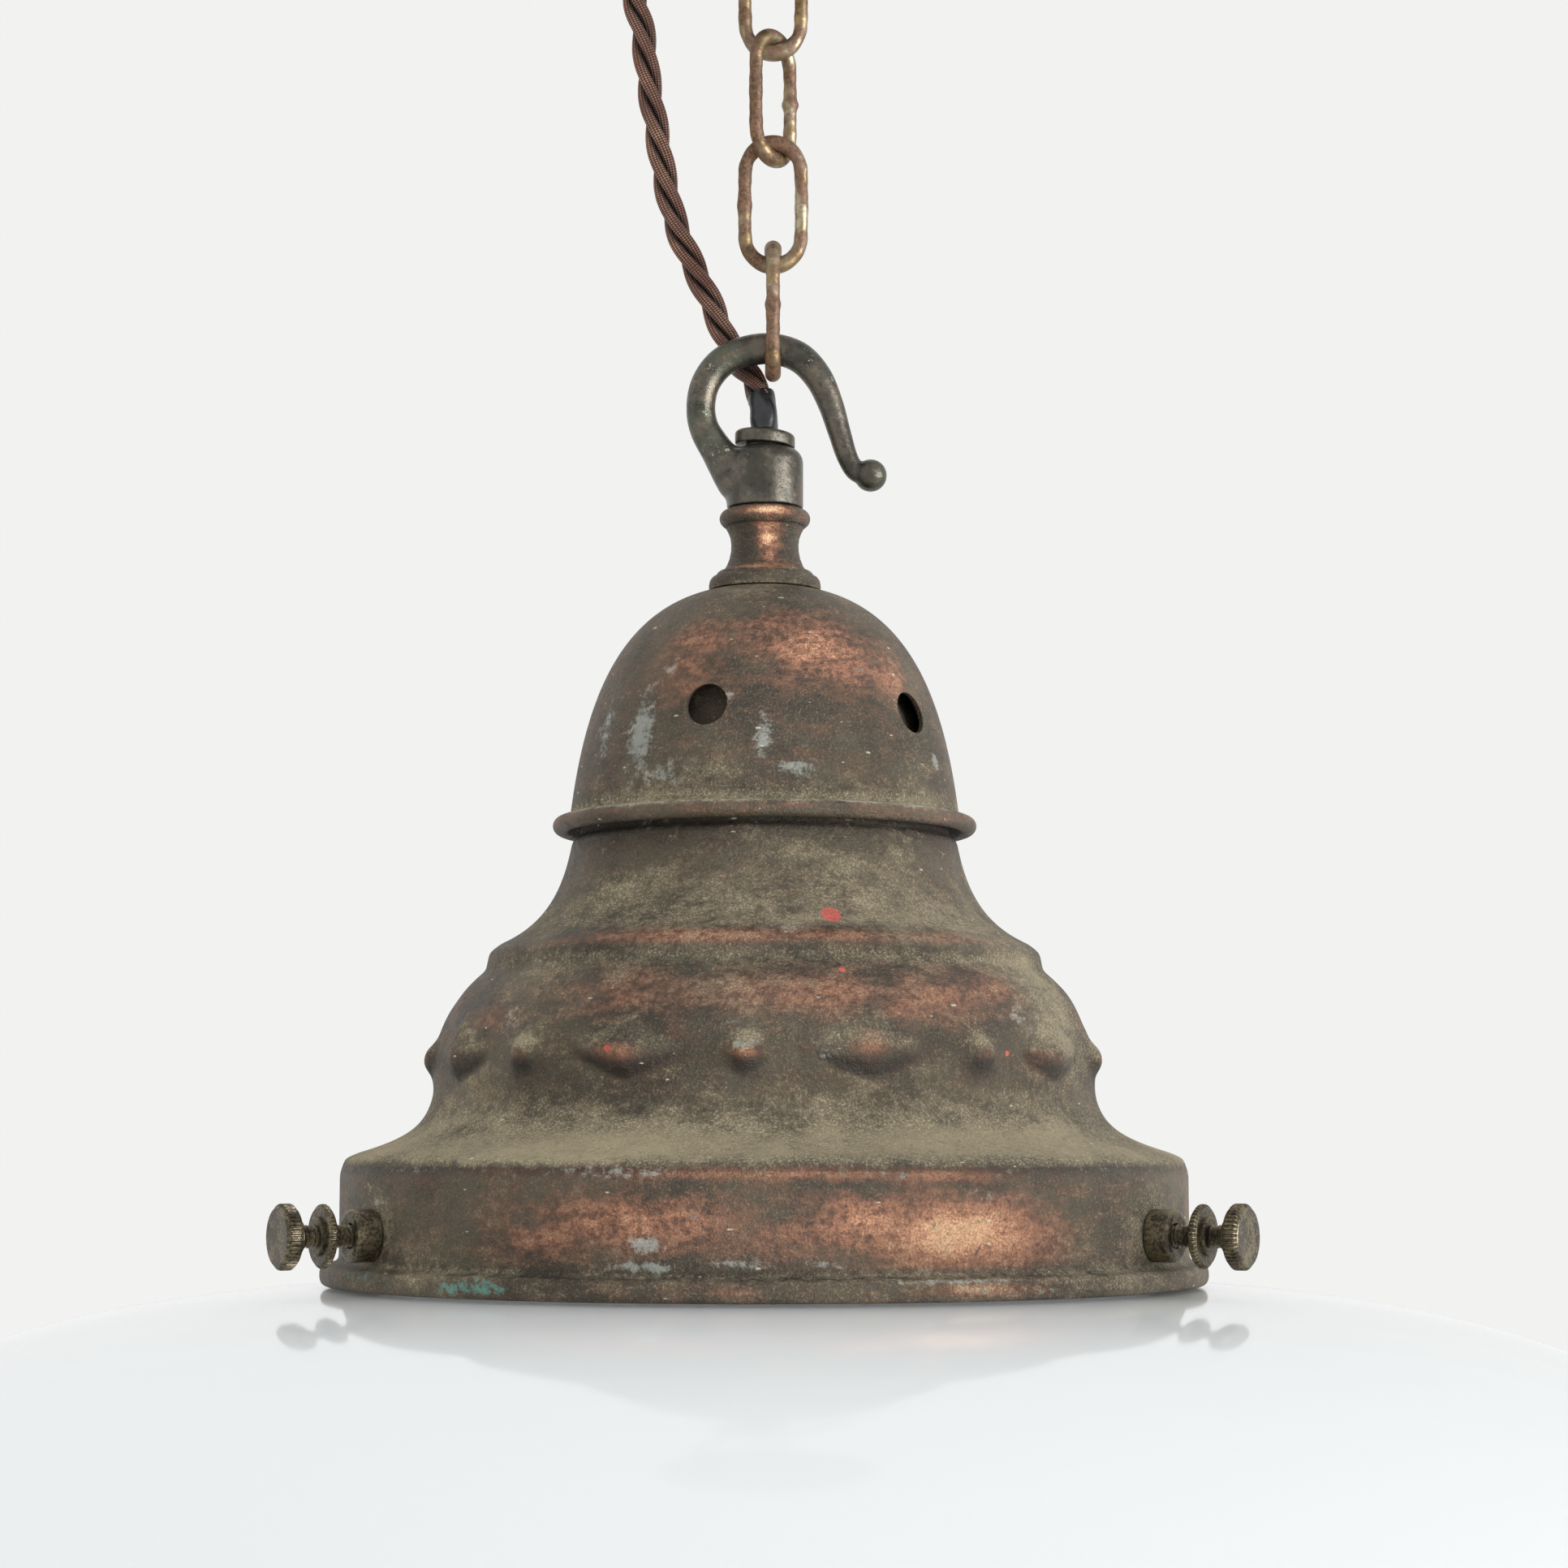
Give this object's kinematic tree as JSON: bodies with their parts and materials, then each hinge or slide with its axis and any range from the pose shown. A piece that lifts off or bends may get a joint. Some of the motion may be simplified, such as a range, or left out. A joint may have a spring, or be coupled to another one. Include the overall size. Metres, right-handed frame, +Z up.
{
  "type": "pendant lamp",
  "caption": "Pendant lamp on a chain: patinated copper gallery and vented cap under a cast hook, braided flex, thumb screws and a wide opal glass shade.",
  "frame": {"origin": "centre of the ceiling plate's flat back, where it meets the ceiling", "axes": "+Z up into the ceiling, +X to the right and -Y towards the viewer of the picture"},
  "size_m": [0.4, 0.4, 0.375],
  "materials": {
    "patinated_copper": "dark patina with rubbed copper",
    "cast_bronze": "dark cast, worn",
    "turned_brass": "aged satin",
    "dark_screw_metal": "dark, knurled",
    "rusted_steel": "rusted wire",
    "braided_cotton": "braided, twisted",
    "black_sleeve": "glossy shrink sleeve",
    "black_moulding": "moulded",
    "opal_glass": "glossy opal",
    "porcelain": "glazed",
    "pearl_bulb_glass": "pearl"
  },
  "bodies": {
    "ceiling_fitting": {"ceiling_plate": "patinated_copper", "ceiling_hook": "cast_bronze", "ceiling_hook_nut": "turned_brass", "ceiling_screw_1": "turned_brass", "ceiling_screw_2": "turned_brass", "ceiling_flex_bush": "black_moulding"},
    "top_link": {"chain_link_1": "rusted_steel", "flex_upper": "braided_cotton"},
    "hanging_chain": {"chain_link_2": "rusted_steel", "chain_link_4": "rusted_steel", "flex_middle": "braided_cotton"},
    "third_link": {"chain_link_3": "rusted_steel"},
    "lamp": {"flex_inner": "braided_cotton", "flex_sleeve": "black_sleeve", "cable_bush": "cast_bronze", "hook_casting": "cast_bronze", "neck": "patinated_copper", "threaded_nipple": "turned_brass", "dome_cap": "patinated_copper", "cap_spacer": "turned_brass", "gallery_body": "patinated_copper", "gallery_washer": "turned_brass", "gallery_nut": "turned_brass", "opal_shade": "opal_glass", "holder_cap": "turned_brass", "terminal_block": "porcelain", "contact_plunger_1": "turned_brass", "contact_plunger_2": "turned_brass", "holder_barrel": "turned_brass", "holder_ring": "turned_brass", "screw_boss_1": "dark_screw_metal", "screw_boss_2": "dark_screw_metal", "screw_boss_3": "dark_screw_metal", "flex_lower": "braided_cotton"},
    "bulb": {"bulb_cap": "turned_brass", "bulb_glass": "pearl_bulb_glass"},
    "lock_nut_1": {"lock_nut_1": "dark_screw_metal"},
    "thumb_screw_1": {"thumb_screw_1": "dark_screw_metal"},
    "lock_nut_2": {"lock_nut_2": "dark_screw_metal"},
    "thumb_screw_2": {"thumb_screw_2": "dark_screw_metal"},
    "lock_nut_3": {"lock_nut_3": "dark_screw_metal"},
    "thumb_screw_3": {"thumb_screw_3": "dark_screw_metal"}
  },
  "joints": [
    {"name": "chain_swing_sideways", "type": "hinge", "parent": "ceiling_fitting", "child": "top_link", "pos_m": [0, 0, -0.0282], "axis": [0, 1, 0], "range_deg": [-12, 12], "deforming": ["flex_upper"]},
    {"name": "chain_swing_forwards", "type": "hinge", "parent": "top_link", "child": "hanging_chain", "pos_m": [0, 0, -0.0482], "axis": [1, 0, 0], "range_deg": [-12, 12], "deforming": ["flex_middle"]},
    {"name": "third_link_twist", "type": "hinge", "parent": "hanging_chain", "child": "third_link", "pos_m": [0, 0, -0.0775], "axis": [0, 0, 1], "range_deg": [-15, 3]},
    {"name": "lamp_tilt", "type": "hinge", "parent": "hanging_chain", "child": "lamp", "pos_m": [0, 0, -0.11], "axis": [0, 1, 0], "range_deg": [-8, 8], "deforming": ["flex_lower"]},
    {"name": "screw_1_travel", "type": "slide", "parent": "lamp", "child": "lock_nut_1", "axis": [-0.866, -0.5, 0], "range_m": [0, 0.0042]},
    {"name": "screw_1_turn", "type": "hinge", "parent": "lock_nut_1", "child": "thumb_screw_1", "pos_m": [-0.07944, -0.045, -0.2689], "axis": [-0.866, -0.5, 0], "range_deg": [0, 2160]},
    {"name": "screw_2_travel", "type": "slide", "parent": "lamp", "child": "lock_nut_2", "axis": [0.866, -0.5, 0], "range_m": [0, 0.0042]},
    {"name": "screw_2_turn", "type": "hinge", "parent": "lock_nut_2", "child": "thumb_screw_2", "pos_m": [0.07644, -0.045, -0.2689], "axis": [0.866, -0.5, 0], "range_deg": [0, 2160]},
    {"name": "screw_3_travel", "type": "slide", "parent": "lamp", "child": "lock_nut_3", "axis": [0, 1, 0], "range_m": [0, 0.0042]},
    {"name": "screw_3_turn", "type": "hinge", "parent": "lock_nut_3", "child": "thumb_screw_3", "pos_m": [-0.0015, 0.09, -0.2689], "axis": [0, 1, 0], "range_deg": [0, 2160]},
    {"name": "bulb_withdraw", "type": "slide", "parent": "lamp", "child": "bulb", "axis": [0, 0, -1], "range_m": [0, 0.03]}
  ],
  "couplings": [
    {"joint": "screw_1_turn", "follows": "screw_1_travel", "rad_per_m": 8976},
    {"joint": "screw_2_turn", "follows": "screw_2_travel", "rad_per_m": 8976},
    {"joint": "screw_3_turn", "follows": "screw_3_travel", "rad_per_m": 8976}
  ]
}
